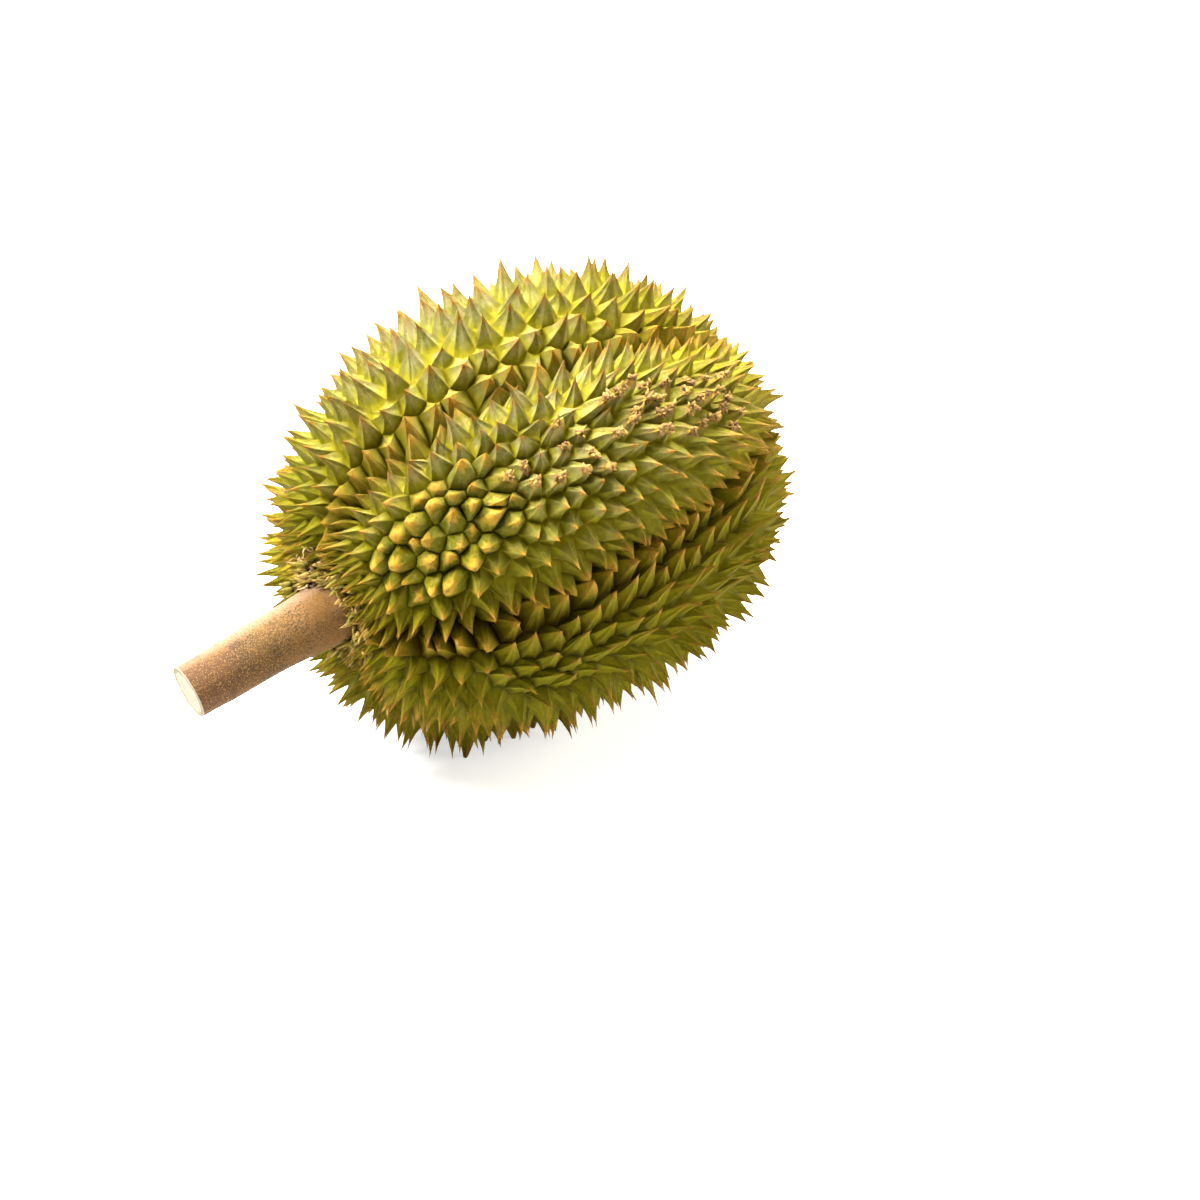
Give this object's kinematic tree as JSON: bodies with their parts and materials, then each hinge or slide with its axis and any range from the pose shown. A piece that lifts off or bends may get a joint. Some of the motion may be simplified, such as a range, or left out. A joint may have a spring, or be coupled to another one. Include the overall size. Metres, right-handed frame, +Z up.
{
  "type": "whole durian",
  "caption": "Whole durian lying on its side: a lobed oval husk covered in sharp pyramid thorns, with a short cut woody stalk seated in the dented end.",
  "frame": {"origin": "on the surface that the fruit lies on, below the middle of its bounding box", "axes": "+X along the fruit from the stalk to the far end, +Z up, +Y to the left when looking from the stalk to the far end"},
  "size_m": [0.2804, 0.1966, 0.196],
  "materials": {
    "husk": "olive green to yellow green fibrous rind, satin, with tan thorn tips",
    "stalk": "matt tan bark with dark speckles and a cream cut end"
  },
  "bodies": {
    "root": {"husk": "husk", "stalk": "stalk"}
  },
  "joints": []
}
